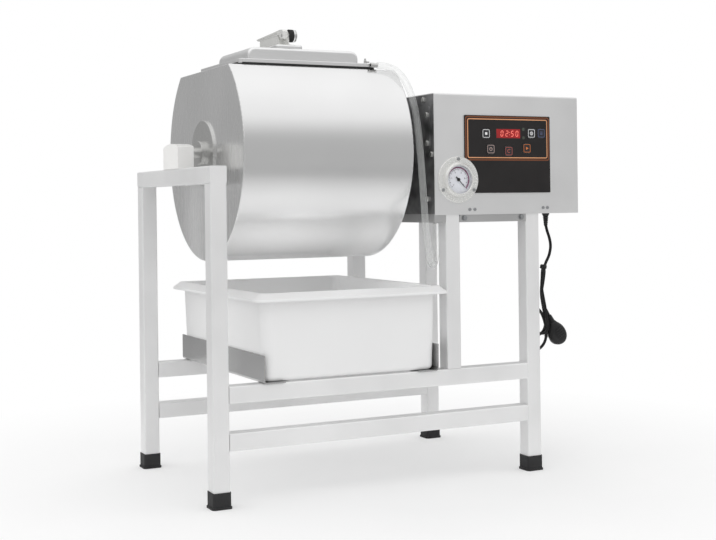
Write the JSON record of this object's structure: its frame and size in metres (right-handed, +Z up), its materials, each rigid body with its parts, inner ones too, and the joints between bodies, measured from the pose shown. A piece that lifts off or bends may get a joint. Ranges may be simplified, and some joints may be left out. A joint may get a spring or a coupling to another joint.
{
  "type": "meat mixer",
  "caption": "Vacuum tumbling meat mixer: steel drum with hinged lid on a tube frame, geared drive box with keys and gauge, air hose, slide-out bin and mains lead.",
  "frame": {"origin": "on the floor under the middle of the machine's bounding box, measured without the hose and the mains lead", "axes": "+X along the drum axle towards the control box, +Y from the operator's side to the rear, +Z up"},
  "size_m": [0.7592, 0.463, 0.8358],
  "materials": {
    "steel_tube": "satin brushed tube",
    "drum_steel": "polished sheet",
    "box_steel": "satin sheet",
    "dark_plate": "semi-gloss black",
    "turned_steel": "turned",
    "cast_case": "cast",
    "black_rubber": "matte",
    "white_plastic": "machined nylon",
    "bin_plastic": "moulded",
    "panel_film": "fine matte",
    "key_film": "fine matte",
    "display_red": "smoked red",
    "lamp": "clear",
    "gauge_steel": "polished",
    "dial_white": "matte white",
    "needle_black": "matte",
    "clear_glass": "clear",
    "hose_clear": "milky translucent",
    "lead_black": "matte",
    "board_green": "lacquered",
    "screw_steel": "zinc plated",
    "chrome": "polished"
  },
  "bodies": {
    "frame": {"legs_left": "steel_tube", "legs_right": "steel_tube", "box_posts": "steel_tube", "upper_rails": "steel_tube", "lower_rails": "steel_tube", "crossbar_left": "steel_tube", "rubber_feet": "black_rubber", "bin_guide_left": "box_steel", "bin_guide_right": "box_steel", "base_tray": "box_steel", "bearing_block": "white_plastic", "box_cover": "box_steel", "drive_plate": "dark_plate", "panel_screws": "screw_steel", "plate_bolts": "screw_steel", "key_panel": "panel_film", "display_window": "display_red", "indicator_lamps": "lamp", "control_board": "board_green", "gauge_case": "gauge_steel", "gauge_glass": "clear_glass", "gauge_dial": "dial_white", "gear_case": "cast_case", "motor_case": "cast_case", "flange_bearing": "cast_case", "vacuum_pump": "cast_case", "hose_fitting": "chrome", "vacuum_hose": "hose_clear", "cord_sleeve": "black_rubber", "mains_lead": "lead_black", "lead_hank": "lead_black", "lead_tail": "lead_black", "mains_plug": "black_rubber"},
    "drum": {"drum_shell": "drum_steel", "drum_end_left": "drum_steel", "drum_end_right": "drum_steel", "hatch_frame": "drum_steel", "drum_baffles": "drum_steel", "stub_shaft": "turned_steel", "drive_shaft": "turned_steel", "hinge_leaves": "turned_steel", "hinge_pins": "turned_steel"},
    "lid": {"lid_cover": "drum_steel", "lid_gasket": "black_rubber", "clamp_block": "turned_steel", "clamp_pin": "turned_steel", "lid_nozzle": "chrome"},
    "clamp": {"clamp_lever": "drum_steel", "clamp_roller": "black_rubber"},
    "valve": {"air_valve": "screw_steel"},
    "needle": {"gauge_needle": "needle_black"},
    "bin": {"bin": "bin_plastic"},
    "rotor": {"motor_rotor": "turned_steel"},
    "key_stop_cap": {"key_stop": "key_film"},
    "key_vacuum_cap": {"key_vacuum": "key_film"},
    "key_mode_cap": {"key_mode": "key_film"},
    "key_timer_cap": {"key_timer": "key_film"},
    "key_reverse_cap": {"key_reverse": "key_film"},
    "key_start_cap": {"key_start": "key_film"}
  },
  "joints": [
    {"name": "drum_spin", "type": "hinge", "parent": "frame", "child": "drum", "pos_m": [-0.14485, 0, 0.61], "axis": [1, 0, 0], "continuous": true},
    {"name": "lid_hinge", "type": "hinge", "parent": "drum", "child": "lid", "pos_m": [-0.15435, 0.085, 0.76999], "axis": [-1, 0, 0], "range_deg": [0, 120]},
    {"name": "clamp_pivot", "type": "hinge", "parent": "lid", "child": "clamp", "pos_m": [-0.17635, -0.076, 0.82399], "axis": [1, 0, 0], "range_deg": [0, 80]},
    {"name": "air_valve_turn", "type": "hinge", "parent": "lid", "child": "valve", "pos_m": [-0.03235, -0.113, 0.77599], "axis": [0, 0, 1], "range_deg": [0, 90]},
    {"name": "gauge_needle_swing", "type": "hinge", "parent": "frame", "child": "needle", "pos_m": [0.10765, -0.211, 0.555], "axis": [0, -1, 0], "range_deg": [0, 270], "stiffness_Nm_per_rad": 0.001},
    {"name": "bin_slide", "type": "slide", "parent": "frame", "child": "bin", "axis": [0, -1, 0], "range_m": [0, 0.51]},
    {"name": "rotor_spin", "type": "hinge", "parent": "frame", "child": "rotor", "pos_m": [0.11665, 0.121, 0.57], "axis": [0, 1, 0], "continuous": true},
    {"name": "key_stop_press", "type": "slide", "parent": "frame", "child": "key_stop_cap", "axis": [0, 1, 0], "range_m": [0, 0.0004], "stiffness_N_per_m": 3000},
    {"name": "key_vacuum_press", "type": "slide", "parent": "frame", "child": "key_vacuum_cap", "axis": [0, 1, 0], "range_m": [0, 0.0004], "stiffness_N_per_m": 3000},
    {"name": "key_mode_press", "type": "slide", "parent": "frame", "child": "key_mode_cap", "axis": [0, 1, 0], "range_m": [0, 0.0004], "stiffness_N_per_m": 3000},
    {"name": "key_timer_press", "type": "slide", "parent": "frame", "child": "key_timer_cap", "axis": [0, 1, 0], "range_m": [0, 0.0004], "stiffness_N_per_m": 3000},
    {"name": "key_reverse_press", "type": "slide", "parent": "frame", "child": "key_reverse_cap", "axis": [0, 1, 0], "range_m": [0, 0.0004], "stiffness_N_per_m": 3000},
    {"name": "key_start_press", "type": "slide", "parent": "frame", "child": "key_start_cap", "axis": [0, 1, 0], "range_m": [0, 0.0004], "stiffness_N_per_m": 3000}
  ],
  "couplings": [
    {"joint": "rotor_spin", "follows": "drum_spin", "ratio": 30}
  ]
}
